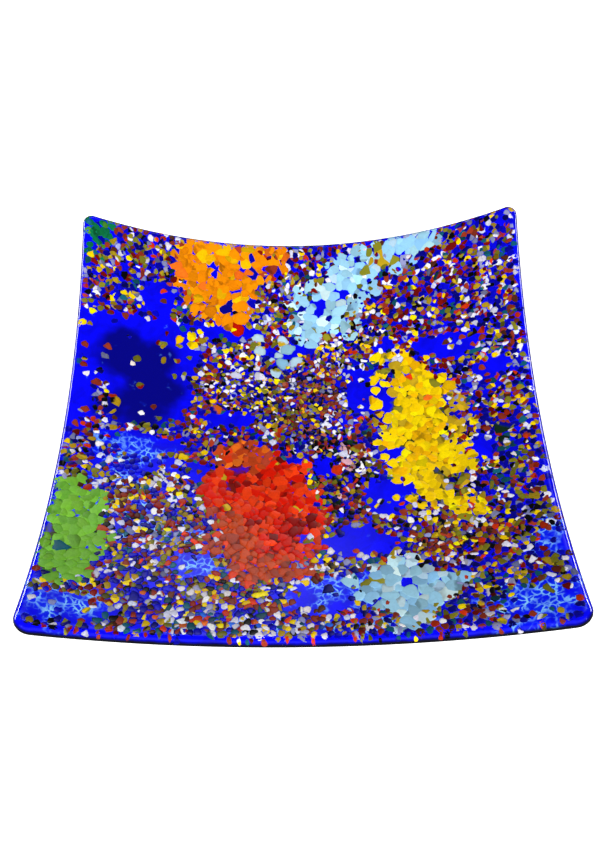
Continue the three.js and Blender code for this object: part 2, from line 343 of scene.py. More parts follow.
def lot_at(u, v):
    """The lot that a grain at this place came from, spills included."""
    step = rng.normal(0, ROLL, 2)
    u = u + step[0] + BEND * math.sin(v / 7.1 + 1.0) * math.sin(u / 12.3 + 0.4)
    v = v + step[1] + BEND * math.sin(u / 6.7 + 2.0) * math.sin(v / 13.1 + 1.9)
    for name, cx, cy, half_x, half_y, share in SPILLS:
        if math.hypot((u - cx) / half_x, (v - cy) / half_y) < 1 and rng.random() < share:
            return name
    return lot_under(u, v)


print("under the middle of the red pool:", lot_under(-25, -57))

# %% [markdown]
# ## Scattering the grains
# Real grains lie close but never on top of each other for long. Throwing places at random and keeping
# only those far enough from every earlier one gives that evenness without a grid.

# %% Scatter
THROWS = 60000
CLOSEST = 0.68  # of the lot's grain
OVER_REAR, OVER_SIDES, OVER_FRONT = 4.6, 1.6, 0.6  # mm, how far the grains go round the rim
CELL = 3.0  # mm, of the grid that finds near places quickly


def scatter(throws, closest, lots_wanted=None, over=OVER_REAR):
    """Places on the sheet with their lots, none closer than the grain allows."""
    side = RIM_LINE + over
    kept, lots, grid = [], [], {}
    for u, v in rng.uniform(-side, side, (throws, 2)):
        past, _, out_v = rim_distance(u, v)
        if past > min(over, OVER_FRONT if out_v < -0.5 else OVER_REAR if out_v > 0.5 else OVER_SIDES):
            continue
        lot = lot_at(u, v)
        if lots_wanted and lot not in lots_wanted:
            continue
        space = closest * LOTS[lot]["grain"] * rng.uniform(0.85, 1.15)
        ci, cj, reach = int(u // CELL), int(v // CELL), int(space // CELL) + 1
        near = (grid.get((i, j), ()) for i in range(ci - reach, ci + reach + 1)
                for j in range(cj - reach, cj + reach + 1))
        if any((kept[k][0] - u) ** 2 + (kept[k][1] - v) ** 2 < space * space
               for group in near for k in group):
            continue
        grid.setdefault((ci, cj), []).append(len(kept))
        kept.append((u, v))
        lots.append(lot)
    return np.array(kept), lots


places, place_lots = scatter(THROWS, CLOSEST)
print(len(places), "places for grains")

# %% [markdown]
# Along the front rim the softened glass ran, and pulled the grains out over the edge. So it gets one
# row of its own, of long grains that lie across it. Everywhere a second sprinkle lies on the first:
# small chips and slivers in the mixes, and broad broken chips in the pools, which is what makes a
# pool look like layers of broken glass and not like cobbles.

# %% Rim row and second sprinkle
RIM_SPACING = 4.6
RIM_COVER, CHIP_COVER = 0.55, 0.9
CHIP_THROWS, CHIP_CLOSEST, CHIP_OVER = 16000, 0.72, -1.0  # over is how far past the rim line, in mm
SHARD_THROWS, SHARD_CLOSEST, SHARD_OVER = 9000, 0.6, 1.0
MIXED = [name for name in LOTS if name.endswith("_mix") or name == "cobalt_bed"]
POOL_MELT, SOFT_MELT = 0.3, 0.75  # a pool melts more than the first, a soft one more than the second
POOLS = [name for name in LOTS if LOTS[name]["melt"] > POOL_MELT]


def rim_row():
    """Places along the front rim, a few millimetres past the rim line."""
    along = np.arange(-RIM_LINE + 4, RIM_LINE - 4, RIM_SPACING)
    along = along + rng.normal(0, 1.0, len(along))
    return np.stack([along, -RIM_LINE - rng.uniform(1.2, 5.0, len(along))], -1)


rim_places = rim_row()
rim_lots = [lot_under(*place) for place in rim_places]
chip_places, chip_lots = scatter(CHIP_THROWS, CHIP_CLOSEST, MIXED, CHIP_OVER)
shard_places, shard_lots = scatter(SHARD_THROWS, SHARD_CLOSEST, POOLS, SHARD_OVER)
print(len(rim_places), "places on the rim,", len(chip_places), "chips,", len(shard_places), "shards")

# %% [markdown]
# Some pieces are too large to be chance: a long dark green shard, loose amber and pale blue grains
# beside their pools, and the few bright chips that lie on the bare blue. Those are placed one by one,
# as the maker would with tweezers: lot, jar, place, length, width and turn in degrees.

# %% Pieces placed one by one
PLACED = [
    ("dark_green_shard", "dark_green", 129, -8, 17, 5, 12),
    ("dark_green_shard", "dark_green", 127, -16, 8, 4, 30), ("right_mix", "teal", 125, -23, 6, 3, 0),
    ("navy_pool", "olive", -111, 54, 6, 4.5, 20), ("navy_pool", "white", -114, 50, 4, 3, 60),
    ("navy_pool", "mustard", -94, 56, 6, 3, 80), ("navy_pool", "brick", -85, 56, 4, 3.5, 0),
    ("navy_pool", "olive", -86, 44, 4, 3, -40), ("navy_pool", "brick", -135, 31, 6, 5, 30),
    ("navy_pool", "mustard", -122, 19, 8, 5, -70), ("navy_pool", "brick", -130, 59, 6, 3.5, -60),
    ("navy_pool", "lavender", -132, 52, 6, 3, -30), ("navy_pool", "brick", -144, 57, 5, 4, 0),
    ("navy_pool", "brick", -139, 9, 6, 4, 0), ("navy_pool", "olive", -95, 10, 5, 4, 0),
    ("navy_pool", "white", -105, 13, 4, 3, 0), ("navy_pool", "brick", -98, 19, 4, 3, 0),
    ("navy_pool", "olive", -108, 34, 4.5, 4, 0), ("brown_mix", "orange", -57, 20, 8, 7, 0),
    ("dark_mix", "pink", 28, -21, 7, 4.5, -20), ("dark_mix", "red_orange", 22, -27, 7.5, 7, 0),
    ("dark_mix", "orange", 35, -11, 8, 6, 0), ("dark_mix", "white", 27, -15, 6.5, 4.5, 30),
    ("dark_mix", "sky", 27, -15, 4, 2.6, 30), ("pale_blue_trail", "ice", -31, 78, 9, 6, 0),
    ("pale_blue_trail", "ice", -29, 68, 9, 7, 20), ("pale_blue_trail", "pale_blue", -9, 69, 12, 7, 10),
    ("pale_blue_trail", "pale_blue", -12, 57, 8.5, 8, 0), ("pale_blue_trail", "ice", -18, 50, 8, 7, 70),
    ("pale_blue_trail", "white", -29, 47, 8, 5, 0), ("pale_blue_trail", "ice", -4, 59, 11, 6, 25),
    ("pale_blue_trail", "white", -45, 48, 7, 5, 0), ("pale_blue_trail", "ice", -13, 76, 8, 6, -30),
    ("rear_right_mix", "teal", 96, 114, 9, 2.4, 40), ("rear_right_mix", "teal", 117, 54, 12, 3.6, 8),
    ("pale_blue_rear_pool", "olive", 15, 122, 6, 5, 0), ("pale_blue_rear_pool", "olive", 46, 127, 9, 4, 50),
    ("pale_blue_rear_pool", "mustard", 51, 133, 7, 3, 60), ("amber_pool", "gold", -73, 106, 8, 7.5, 0),
    ("amber_pool", "amber", -75, 97, 8, 9, 0), ("amber_pool", "amber", -63, 97, 9, 10, 0),
    ("amber_pool", "amber", -52, 92, 9, 7, 0), ("amber_pool", "amber", -42, 93, 9, 8.5, 0),
    ("amber_pool", "amber", -41, 103, 8, 8, 0), ("rear_middle_mix", "scarlet", -44, 83, 9, 9, 0),
    ("rear_middle_mix", "yellow", -46, 84, 5.5, 4.5, 0), ("yellow_pool", "yellow", -76, 76, 6, 6, 0),
    ("yellow_pool", "gold", -84, 73, 5, 6, 0), ("yellow_pool", "yellow", -75, 70, 7, 5, 0),
    ("left_mix", "yellow", -77, -18, 7, 5, 0), ("left_mix", "mustard", -137, -27, 6, 4, 0),
    ("front_left_mix", "yellow", -25, -118, 12, 3.4, 10), ("lime_pool", "teal", -137, -93, 13, 3, 0),
    ("yellow_pool", "red_orange", 73, 42, 5, 3.5, -30), ("yellow_pool", "orange", 84, 24, 6, 4, 20),
]
placed = {key: np.array(values) for key, values in zip(
    ("lot", "jar", "u", "v", "long", "wide", "turn"), zip(*PLACED))}
placed_at = np.stack([placed["u"], placed["v"]], -1).astype(float)
print(len(PLACED), "pieces placed by hand")

# %% [markdown]
# ## Choosing colours
# Each place draws a jar from its lot's mix. A clumsy hand drops grains of one jar together, so some
# places take the jar of a neighbour.

# %% Draw the jars
CLUMPS = 0.22  # share of mixed grains that take their neighbour's colour


def neighbours(points, count):
    """For each point, the indices of the nearest others."""
    tree = KDTree(len(points))
    for i, (u, v) in enumerate(points):
        tree.insert((u, v, 0), i)
    tree.balance()
    return np.array([[k for _, k, _ in tree.find_n((u, v, 0), count + 1) if k != i][:count]
                     for i, (u, v) in enumerate(points)])


def draw_jars(points, lots, cover=1.0):
    """A jar for each place, or None where the glass below shows."""
    bare = patches(BARE_PATCHES, points[:, 0], points[:, 1])
    gaps = patches(POOL_GAPS, points[:, 0], points[:, 1], softness=0.15)
    near = neighbours(points, 3)
    jars = []
    for i, name in enumerate(lots):
        lot = LOTS[name]
        left = 1 - 0.93 * bare[i] if name in MIXED else 1 - gaps[i]
        jar = str(rng.choice(lot["jars"], p=lot["share"]))
        for tone, cx, cy, half_x, half_y, mix in TONES:
            if tone == name and math.hypot((points[i, 0] - cx) / half_x, (points[i, 1] - cy) / half_y) < 1:
                jar = str(rng.choice(list(mix), p=np.array(list(mix.values())) / sum(mix.values())))
        friend = near[i][0]
        if rng.random() < CLUMPS and friend < i and lots[friend] == name and jars[friend]:
            jar = jars[friend]
        jars.append(jar if rng.random() < cover * lot["cover"] * left else None)
    return jars


jars = draw_jars(places, place_lots)
rim_jars = draw_jars(rim_places, rim_lots, RIM_COVER)
chip_jars = draw_jars(chip_places, chip_lots, CHIP_COVER)
shard_jars = draw_jars(shard_places, shard_lots)
print(sum(jar is not None for jar in jars), "of", len(jars), "places hold a grain")

# %% [markdown]
# ## The outline of a grain
# Seen from above, a grain stops where it meets its neighbours and where it was broken. Both are
# straight walls. In a direction that makes an angle with a wall's own, the wall is its distance
# divided by the cosine of that angle away. Taking a high power mean of all the walls, and not simply
# the nearest, melts the corners round, as the kiln does. A heavy grain pushes its walls towards its
# lighter neighbours, so the sizes differ as they do in a sieve's yield.

# %% Outlines
SIDES = 12  # points round a grain
NEIGHBOURS = 11
bearings = np.arange(SIDES) * 2 * math.pi / SIDES
directions = np.stack([np.cos(bearings), np.sin(bearings)], -1)


def wall_pull(toward, distance, power):
    """Sum over the walls of (cosine / distance) to a power, for each bearing."""
    facing = np.einsum("nwc,kc->nkw", toward, directions)
    return ((np.maximum(facing, 0) / distance[:, None, :]) ** power[:, None, None]).sum(-1)


def neighbour_walls(points, weight, gap):
    """Direction and distance of the walls that each grain shares with its neighbours."""
    near = neighbours(points, NEIGHBOURS)
    offset = points[near] - points[:, None, :]
    apart = np.maximum(np.linalg.norm(offset, axis=-1), 0.1)
    shared = (apart**2 + (weight**2)[:, None] - (weight**2)[near]) / (2 * apart)
    return offset / apart[..., None], np.maximum(shared - gap[:, None], 0.35)


def broken_walls(size, long_way, stretch, walls=5):
    """Fracture faces: grains of this size, stretched along long_way."""
    count = len(size)
    start = rng.uniform(0, 2 * math.pi, (count, 1))
    angle = start + (np.arange(walls) + rng.uniform(-0.34, 0.34, (count, walls))) * 2 * math.pi / walls
    reach = size[:, None] * rng.uniform(0.40, 0.66, (count, walls))
    toward = np.stack([np.cos(angle), np.sin(angle)], -1)
    lying = (toward * long_way[:, None, :]).sum(-1) ** 2
    root = np.sqrt(stretch)[:, None]
    return toward, reach * (root * lying + (1 - lying) / root)


def any_way(count):
    """Random directions."""
    turned = rng.uniform(0, 2 * math.pi, count)
    return np.stack([np.cos(turned), np.sin(turned)], -1)


def outlines(walls, power):
    """Distance from a grain's middle to its outline at each bearing, slightly uneven."""
    count = len(power)
    wave = rng.uniform(0, 2 * math.pi, (3, count, 1))
    uneven = sum(depth * np.sin(n * bearings + wave[i])
                 for i, (n, depth) in enumerate([(2, 0.05), (3, 0.06), (5, 0.05)]))
    return sum(wall_pull(*wall, power) for wall in walls) ** (-1 / power[:, None]) * (1 + uneven)


# %% [markdown]
# ## A grain as a solid
# A melted grain is a flat pebble: its sides go down into the bed, its shoulder is rounded, and its
# top follows the dish with a very slight dome. Each is built from rings of the same outline, drawn in
# by a share and lifted by a height, and closed at both ends. All the grains of an object are built at
# once as arrays, because a loop over thousands of grains is slow.

# %% Grain builder
RINGS = [(0.90, -1.30), (1.00, -0.26), (0.96, -0.06), (0.82, 0.02), (0.48, 0.06)]  # share, lift in mm
# Rings that don't show the core show the grain's edge colour, which is painted shade.
CORE_SHARE = np.array([0, 0, 0.2, 0.8, 1.0])  # how much of the core's colour each ring shows
collection = bpy.context.scene.collection


def closed_rings(count, rings, sides=SIDES):
    """Faces of count solids, each made of rings of some sides between a bottom and a top point."""
    k = np.arange(sides)
    after = (k + 1) % sides
    quads = np.concatenate([np.stack([r * sides + k, r * sides + after, (r + 1) * sides + after,
                                      (r + 1) * sides + k], -1) for r in range(rings - 1)])
    bottom, top = rings * sides, rings * sides + 1
    ends = np.concatenate([np.stack([after, k, np.full(sides, bottom)], -1),
                           np.stack([(rings - 1) * sides + k, (rings - 1) * sides + after,
                                     np.full(sides, top)], -1)])
    step = np.arange(count)[:, None, None] * (rings * sides + 2)
    return (quads + step).reshape(-1, 4), (ends + step).reshape(-1, 3)


def grain_piece(name, grains, cad_node, material):
    """One object of many grains: a table of their places, outlines, lifts and colours."""
    points, radii, lift, edge_shade, core, turned = (grains[key] for key in
                                               ("place", "radii", "lift", "edge_shade", "core", "partner_or_shade_way"))
    count = len(points)
    share = np.array([ring[0] for ring in RINGS])
    height = np.array([ring[1] for ring in RINGS])
    spread = radii[:, None, :, None] * share[None, :, None, None] * directions[None, None]
    rings = points[:, None, None, :] + spread
    lifts = np.broadcast_to(height[None, :, None] + lift[:, None, None], rings.shape[:3])
    ends = np.repeat(points[:, None, :], 2, axis=1)
    end_lifts = np.stack([height[0] + lift, height[-1] + 0.015 + lift], -1)
    flat = np.concatenate([rings.reshape(count, -1, 2), ends], 1)
    lifted = np.concatenate([lifts.reshape(count, -1), end_lifts], 1)
    solid = on_dish(flat[..., 0], flat[..., 1], lifted)
    quads, end_faces = closed_rings(count, len(RINGS))
    mesh = bpy.data.meshes.new(name)
    mesh.from_pydata(solid.reshape(-1, 3).tolist(), [], quads.tolist() + end_faces.tolist())
    mesh.polygons.foreach_set("use_smooth", np.ones(len(mesh.polygons), bool))
    inside = CORE_SHARE[None, :, None, None]
    shade = edge_shade[:, None, None, :] * (1 - inside) + core[:, None, None, :] * inside
    partner_or_shade = np.einsum("nc,kc->nk", turned, directions)[:, None, :, None] > 0.35
    shade = np.where(partner_or_shade, grains["partner_or_shade"][:, None, None, :], shade)
    shade = shade.reshape(count, -1, 3)
    shade = np.concatenate([shade, edge_shade[:, None], core[:, None]], 1).reshape(-1, 3)
    tint = mesh.color_attributes.new("grain_colour", "FLOAT_COLOR", "POINT")
    tint.data.foreach_set("color", np.concatenate([shade, np.ones((len(shade), 1))], 1).ravel())
    piece = bpy.data.objects.new(name, mesh)
    collection.objects.link(piece)
    mesh.materials.append(material)
    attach(piece, "root")
    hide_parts(cad_node)
    return piece


# %% [markdown]
# ## Glass for the grains
# Opaque frit is coloured through, with faint darker streaks where it was drawn before it was crushed,
# and fire-polished on top. The streaks are a group, so that every material can use them with values
# of its own.

# %% Streaks group
def new_group(name, inputs, outputs):
    """An empty shader group with named sockets, its nodes and the two ends."""
    group = bpy.data.node_groups.new(name, "ShaderNodeTree")
    for label, kind, value in inputs:
        socket = group.interface.new_socket(label, in_out="INPUT", socket_type=kind)
        socket.default_value = value
    for label, kind in outputs:
        group.interface.new_socket(label, in_out="OUTPUT", socket_type=kind)
    return group, group.nodes.new("NodeGroupInput"), group.nodes.new("NodeGroupOutput")


def node(tree, kind, **settings):
    """A new node. Names with a capital set its sockets, the others its own properties."""
    made = tree.nodes.new(kind)
    for key, value in settings.items():
        if key[0].isupper():
            made.inputs[key.replace("_", " ")].default_value = value
        else:
            setattr(made, key, value)
    return made


def streaks_group():
    """Colour with faint streaks and clouds in it, and a height for the polish's slight unevenness."""
    group, start, end = new_group(
        "streaks",
        [("Colour", "NodeSocketColor", (1, 1, 1, 1)), ("Depth", "NodeSocketFloat", 0.2),
         ("Scale", "NodeSocketFloat", 420.0)],
        [("Colour", "NodeSocketColor"), ("Height", "NodeSocketFloat")])
    link = group.links.new
    place = node(group, "ShaderNodeTexCoord")
    cloud = node(group, "ShaderNodeTexNoise", Detail=3.0, Roughness=0.6, Distortion=1.2)
    link(place.outputs["Object"], cloud.inputs["Vector"])
    link(start.outputs["Scale"], cloud.inputs["Scale"])
    spread = node(group, "ShaderNodeMapRange", From_Min=0.3, From_Max=0.7, To_Min=-1.0, To_Max=1.0)
    link(cloud.outputs[0], spread.inputs["Value"])
    depth = node(group, "ShaderNodeMath", operation="MULTIPLY_ADD")
    link(spread.outputs[0], depth.inputs[0])
    link(start.outputs["Depth"], depth.inputs[1])
    depth.inputs[2].default_value = 1.0
    shade = node(group, "ShaderNodeVectorMath", operation="SCALE")
    link(start.outputs["Colour"], shade.inputs[0])
    link(depth.outputs[0], shade.inputs["Scale"])
    link(shade.outputs[0], end.inputs["Colour"])
    swell = node(group, "ShaderNodeTexNoise", Scale=160.0, Detail=1.0)
    link(place.outputs["Object"], swell.inputs["Vector"])
    link(swell.outputs[0], end.inputs["Height"])
    return group


STREAKS = streaks_group()


def polished(name, roughness):
    """A material with a plain glass surface, and its tree and shader."""
    material = bpy.data.materials.new(name)
    material.use_nodes = True
    shader = material.node_tree.nodes["Principled BSDF"]
    shader.inputs["Roughness"].default_value = roughness
    shader.inputs["IOR"].default_value = 1.5
    return material, material.node_tree, shader


def grain_glass(name, depth, scale, bump=0.02):
    """Fused frit that takes each grain's colour, with streaks in it."""
    material, tree, shader = polished(name, 0.1)
    link = tree.links.new
    colour = node(tree, "ShaderNodeVertexColor", layer_name="grain_colour")
    streaks = node(tree, "ShaderNodeGroup", node_tree=STREAKS)
    streaks.inputs["Depth"].default_value = depth
    streaks.inputs["Scale"].default_value = scale
    link(colour.outputs["Color"], streaks.inputs["Colour"])
    link(streaks.outputs["Colour"], shader.inputs["Base Color"])
    polish = node(tree, "ShaderNodeBump", Strength=bump, Distance=0.001)
    link(streaks.outputs["Height"], polish.inputs["Height"])
    link(polish.outputs["Normal"], shader.inputs["Normal"])
    return material


opaque_grain = grain_glass("opaque_frit", depth=0.12, scale=420.0)
mixed_grain = grain_glass("mixed_frit", depth=0.22, scale=600.0)
pale_grain = grain_glass("pale_frit", depth=0.07, scale=300.0)
LOT_GLASS = {"amber_pool": opaque_grain, "yellow_pool": opaque_grain, "red_pool": opaque_grain,
             "lime_pool": opaque_grain, "pale_blue_rear_pool": pale_grain, "pale_blue_rim_pool": pale_grain,
             "pale_blue_trail": pale_grain, "pale_blue_front_pool": pale_grain}
print("grain materials:", opaque_grain.name, mixed_grain.name, pale_grain.name)

# %% [markdown]
# ## Laying the grains
# All the outlines are worked out together, so that grains of different lots meet properly. A grain's
# colour shifts a little in value and warmth, because no two are alike. Its outline is painted darker,
# as painted shade where the light is lost between grains. In the mixes some grains carry a side of
# another colour, where two were fused before they were crushed. In the pools that side is a darker copy
# of the grain's own colour: a painted shaded side.

# %% Lay the grains
PARTNERS = ["white", "mustard", "brick", "cobalt", "olive", "black", "dark_red", "navy"]


def shifted(colour, value, warmth):
    """Colours made lighter by value and warmer by warmth, row by row."""
    tilt = np.stack([warmth, 0.3 * warmth, -warmth], -1)
    return np.clip(colour * (1 + value[:, None]) * (1 + tilt), 0, 1)


def shape_of(layer, points, width, melt):
    """The walls of a layer's grains, how sharp their corners are, and how high they lie in mm."""
    count = len(points)
    pool = melt > POOL_MELT
    melted = rng.random(count) < melt
    _, out_u, out_v = rim_distance(points[:, 0], points[:, 1])
    if layer == "bed":
        gap = np.where(pool, np.where(melted, -0.4, 0.0), rng.uniform(-0.08, 0.1, count))
        size = width * np.where(pool, 1.7, rng.uniform(0.9, 1.7, count))
        walls = [neighbour_walls(points, width * rng.uniform(0, 0.42, count), gap),
                 broken_walls(size, any_way(count), rng.uniform(1.0, 2.6, count))]
        power = np.where(pool, 9.0, 18.0)
        lift = rng.normal(0, 0.02, count)
    elif layer == "rim":
        walls = [neighbour_walls(points, np.zeros(count), np.full(count, 0.15)),
                 broken_walls(rng.uniform(2.4, 4.2, count), np.stack([out_u, out_v], -1),
                              rng.uniform(1.6, 3.4, count))]
        power = np.full(count, 8.0)
        lift = rng.normal(0, 0.02, count)
    elif layer == "placed":
        turn = np.radians(placed["turn"].astype(float))
        walls = [broken_walls(np.sqrt(placed["long"] * placed["wide"]),
                              np.stack([np.cos(turn), np.sin(turn)], -1), placed["long"] / placed["wide"])]
        power = np.full(count, 9.0)
        lift = np.linspace(0.10, 0.14, count)
    elif layer == "chips":
        long = rng.random(count) < 0.3
        stretch = np.where(long, rng.uniform(2.5, 5.0, count), rng.uniform(1.0, 2.2, count))
        walls = [broken_walls(width * rng.uniform(0.45, 0.95, count), any_way(count), stretch)]
        power = np.full(count, 20.0)
        lift = rng.uniform(0.05, 0.11, count)
    else:
        walls = [broken_walls(width * rng.uniform(0.6, 1.1, count), any_way(count),
                              rng.uniform(1.0, 2.0, count))]
        power = np.where(melt > SOFT_MELT, 7.0, 18.0)
        lift = rng.uniform(0.02, 0.09, count)
    return walls, power, lift


def lay(points, lots, jars, layer):
    """A table of the grains of one layer, with their outlines and colours."""
    count = len(points)
    width = np.array([LOTS[name]["grain"] for name in lots])
    melt = np.array([LOTS[name]["melt"] for name in lots])
    pool = melt > POOL_MELT
    walls, power, lift = shape_of(layer, points, width, melt)
    colour = np.array([GLASS[jar or "cobalt"] for jar in jars])
    blue = np.array([jar in ("cobalt", "navy", "sky") for jar in jars])
    bright = np.array([jar in ("white", "ice", "yellow", "gold") for jar in jars])
    duller = np.where(bright, 0.0, np.where(pool, 0.07, 0.36))
    spread = np.where(pool, 0.12, 0.2)
    value = np.where(blue, rng.uniform(-0.7, -0.05, count), rng.normal(0, 1, count) * spread - duller)
    core = shifted(colour, value, rng.normal(0, 0.06, count))
    outlined = (rng.random(count) < 0.35) & (melt < SOFT_MELT)
    pool_edge = np.where(outlined, rng.uniform(0.35, 0.65, count), rng.uniform(0.82, 1.0, count))
    # Painted shade: the edge colour is the grain's own colour made darker.
    edge = np.where(pool, pool_edge, rng.uniform(0.3, 0.85, count))[:, None]
    odd = np.array([GLASS[jar] for jar in rng.choice(PARTNERS, count)])
    # In the pools the other side is painted shade, a darker copy of the grain's colour; in the mixes
    # another jar.
    partner_or_shade = np.where(pool[:, None], core * rng.uniform(0.45, 0.85, (count, 1)), odd)
    partnered_or_shaded = rng.random(count) < np.where(melt > SOFT_MELT, 0.12, np.where(pool, 0.4, 0.28))
    return {"place": points, "radii": outlines(walls, power), "lift": lift, "core": core,
            "edge_shade": core * edge, "partner_or_shade": partner_or_shade, "partner_or_shade_way": any_way(count) * partnered_or_shaded[:, None],
            "lot": np.array(lots), "held": np.array([jar is not None for jar in jars])}


layers = [lay(places, place_lots, jars, "bed"), lay(rim_places, rim_lots, rim_jars, "rim"),
          lay(chip_places, chip_lots, chip_jars, "chips"),
          lay(shard_places, shard_lots, shard_jars, "shards"),
          lay(placed_at, placed["lot"].tolist(), placed["jar"].tolist(), "placed")]
grains = {key: np.concatenate([layer[key] for layer in layers]) for key in layers[0]}
MOST_GRAINS = 1500  # in one object, so that its mesh stays light
for name in LOTS:
    chosen = np.flatnonzero(grains["held"] & (grains["lot"] == name))
    parts = np.array_split(chosen[np.argsort(grains["place"][chosen, 0])], -(-len(chosen) // MOST_GRAINS))
    for number, part in enumerate(parts, 1):
        part_name = name + "_grains" + ("" if len(parts) == 1 else "_" + str(number))
        table = {key: values[part] for key, values in grains.items()}
        piece = grain_piece(part_name, table, name, LOT_GLASS.get(name, mixed_grain))
        print(piece.name, len(part), "grains")

# %% [markdown]
# ## The cobalt glass
# Under and between the grains is cobalt glass. Its three layers, two sheets and the melted bed, are
# closed solids of the dish's own shape, made from rings that run from the foot to the rim.

# %% Layers of cobalt glass
EDGE_STEPS, CORNER_STEPS, LAYER_RINGS, EDGE_ROUNDS = 48, 8, 60, 8


def outline_points():
    """The rim line on the flat sheet, counterclockwise, with the outward directions."""
    found = []
    corners = [(1, 1, REAR_CORNER), (-1, 1, REAR_CORNER), (-1, -1, FRONT_CORNER), (1, -1, FRONT_CORNER)]
    for i, (sx, sy, radius) in enumerate(corners):
        inner = RIM_LINE - radius
        start = i * math.pi / 2
        for angle in start + np.linspace(0, math.pi / 2, CORNER_STEPS + 1):
            found.append((sx * inner + radius * math.cos(angle), sy * inner + radius * math.sin(angle),
                          math.cos(angle), math.sin(angle)))
        nx, ny, following = corners[(i + 1) % 4]
        end = start + math.pi / 2
        last = np.array(found[-1][:2])
        first = np.array([nx * (RIM_LINE - following) + following * math.cos(end),
                          ny * (RIM_LINE - following) + following * math.sin(end)])
        for share in np.arange(1, EDGE_STEPS) / EDGE_STEPS:
            u, v = last + (first - last) * share
            found.append((u, v, math.cos(end), math.sin(end)))
    return np.array(found)


def glass_layer(name, low, high, arcs):
    """A closed layer of the dish between two depths, measured from the middle of the glass.

    Round the rim it follows arcs: angles above the horizontal with the radius there.
    """
    line = outline_points()
    u, v = line[:, 0], line[:, 1]
    circle = FOOT_RADIUS / np.hypot(u, v)
    shares = np.arange(LAYER_RINGS) / LAYER_RINGS
    rings = [(0.5 * circle * u, 0.5 * circle * v)]
    rings += [((circle * (1 - s) + s) * u, (circle * (1 - s) + s) * v) for s in shares]

    def level(depth):
        made = []
        for ru, rv in rings:
            x, y = drawn_in(ru, rv)
            made.append(np.stack([x, y, HALF + rise(x, y)], -1) + depth * normals(x, y))
        return made

    x, y = drawn_in(u, v)
    n = normals(x, y)
    away = outward(line[:, 2], line[:, 3], n)
    middle_line = np.stack([x, y, HALF + rise(x, y)], -1)
    edge = [middle_line + radius * (math.sin(angle) * n + math.cos(angle) * away)
            for angle, radius in arcs]
    stack = np.array(level(low) + edge + level(high)[::-1])
    count = len(u)
    quads, ends = closed_rings(1, len(stack), count)
    middle = np.array([[0, 0, HALF + low], [0, 0, HALF + high]])
    mesh = bpy.data.meshes.new(name)
    mesh.from_pydata((MM * np.concatenate([stack.reshape(-1, 3), middle])).tolist(), [],
                     quads.tolist() + ends.tolist())
    mesh.polygons.foreach_set("use_smooth", np.ones(len(mesh.polygons), bool))
    flat_part = [math.pi / 2] * len(rings)
    turned = np.repeat(flat_part + [angle for angle, _ in arcs] + flat_part, count)
    facing = mesh.attributes.new("rim_angle", "FLOAT", "POINT")
    facing.data.foreach_set("value", np.append(turned, [math.pi / 2] * 2).astype(np.float32))
    piece = bpy.data.objects.new(name, mesh)
    collection.objects.link(piece)
    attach(piece, "root")
    return piece


def arc(low, high, radius):
    """Evenly spaced steps round the rim from one depth to another, as angles with their radius."""
    first, last = math.asin(max(-1, low / radius)), math.asin(min(1, high / radius))
    return [(angle, radius) for angle in np.linspace(first, last, EDGE_ROUNDS + 1)]


BED_LOW, BASE_HIGH = 1.9, -1.3  # depths where the three layers meet
BED_TOP = HALF - 0.12  # the grains stand a little proud of the bed
BED_LIP = -3.4  # the melted bed ran down over the rim to this depth
SHEET_EDGE = HALF - 0.35  # so the sheets end a little inside it
bed = glass_layer("cobalt_bed_glass", BED_LOW, BED_TOP,
                  arc(BED_LOW, BED_LIP, SHEET_EDGE + 0.05) + arc(BED_LIP, BED_TOP, HALF))
middle = glass_layer("middle_sheet_glass", BASE_HIGH, BED_LOW, arc(BASE_HIGH, BED_LOW, SHEET_EDGE))
base = glass_layer("base_sheet_glass", -HALF, BASE_HIGH, arc(-HALF, BASE_HIGH, SHEET_EDGE))
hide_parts("cobalt_bed")
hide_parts("middle_sheet")
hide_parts("base_sheet")
print("layers:", [len(piece.data.vertices) for piece in (bed, middle, base)])

# %% [markdown]
# What shows between the grains isn't the same blue everywhere: it is darker over the navy pool and pale
# where light runs in the seams. Between the grains of the pools and mixes it is dim and tinted: partly
# the colour of the glass seen there, partly painted shade where light is lost between grains. Down the
# rim it goes dark, as painted shade. Each effect is a soft mask painted on the bed's points, and the
# material gives it an uneven edge.

# %% Paint the bed
NAVY_PATCHES = [(-106, 52, 26, 16), (-98, 34, 18, 18), (-110, 16, 22, 16), (-120, 62, 14, 12)]
# Ground between grains: partly the tint of the glass seen there, partly painted shade between grains.
GROUND_TINTS_AND_SHADE = {
    "olive_shade": [(78, 8, 22, 36), (86, -40, 16, 26), (-136, -92, 12, 28)],
    "red_shade": [(-28, -58, 28, 42), (-42, -14, 9, 12)],
    "black_shade": [(22, -26, 20, 36), (0, 26, 34, 26), (54, 88, 22, 12), (96, -80, 34, 14)],
}


def float_paint(piece, name, values):
    """Stores one number for each point of a piece."""
    layer = piece.data.attributes.new(name, "FLOAT", "POINT")
    layer.data.foreach_set("value", np.asarray(values, np.float32))


points = np.empty(len(bed.data.vertices) * 3)
bed.data.vertices.foreach_get("co", points)
points = points.reshape(-1, 3) / MM
float_paint(bed, "navy_shade", patches(NAVY_PATCHES, points[:, 0], points[:, 1], softness=0.45))
float_paint(bed, "pale_seams", patches(SEAM_PATCHES, points[:, 0], points[:, 1], softness=0.5))
clear = patches(BARE_PATCHES, points[:, 0], points[:, 1])
for name, ovals in GROUND_TINTS_AND_SHADE.items():
    float_paint(bed, name, patches(ovals, points[:, 0], points[:, 1], softness=0.3) * (1 - clear))
rim_angle = np.empty(len(points), np.float32)
bed.data.attributes["rim_angle"].data.foreach_get("value", rim_angle)
# Painted shade: the bed goes dark where its rim turns to face downwards.
float_paint(bed, "rim_painted_shade", np.clip((0.8 - rim_angle) / 0.9, 0, 1))
print("painted", len(points), "points of the bed")

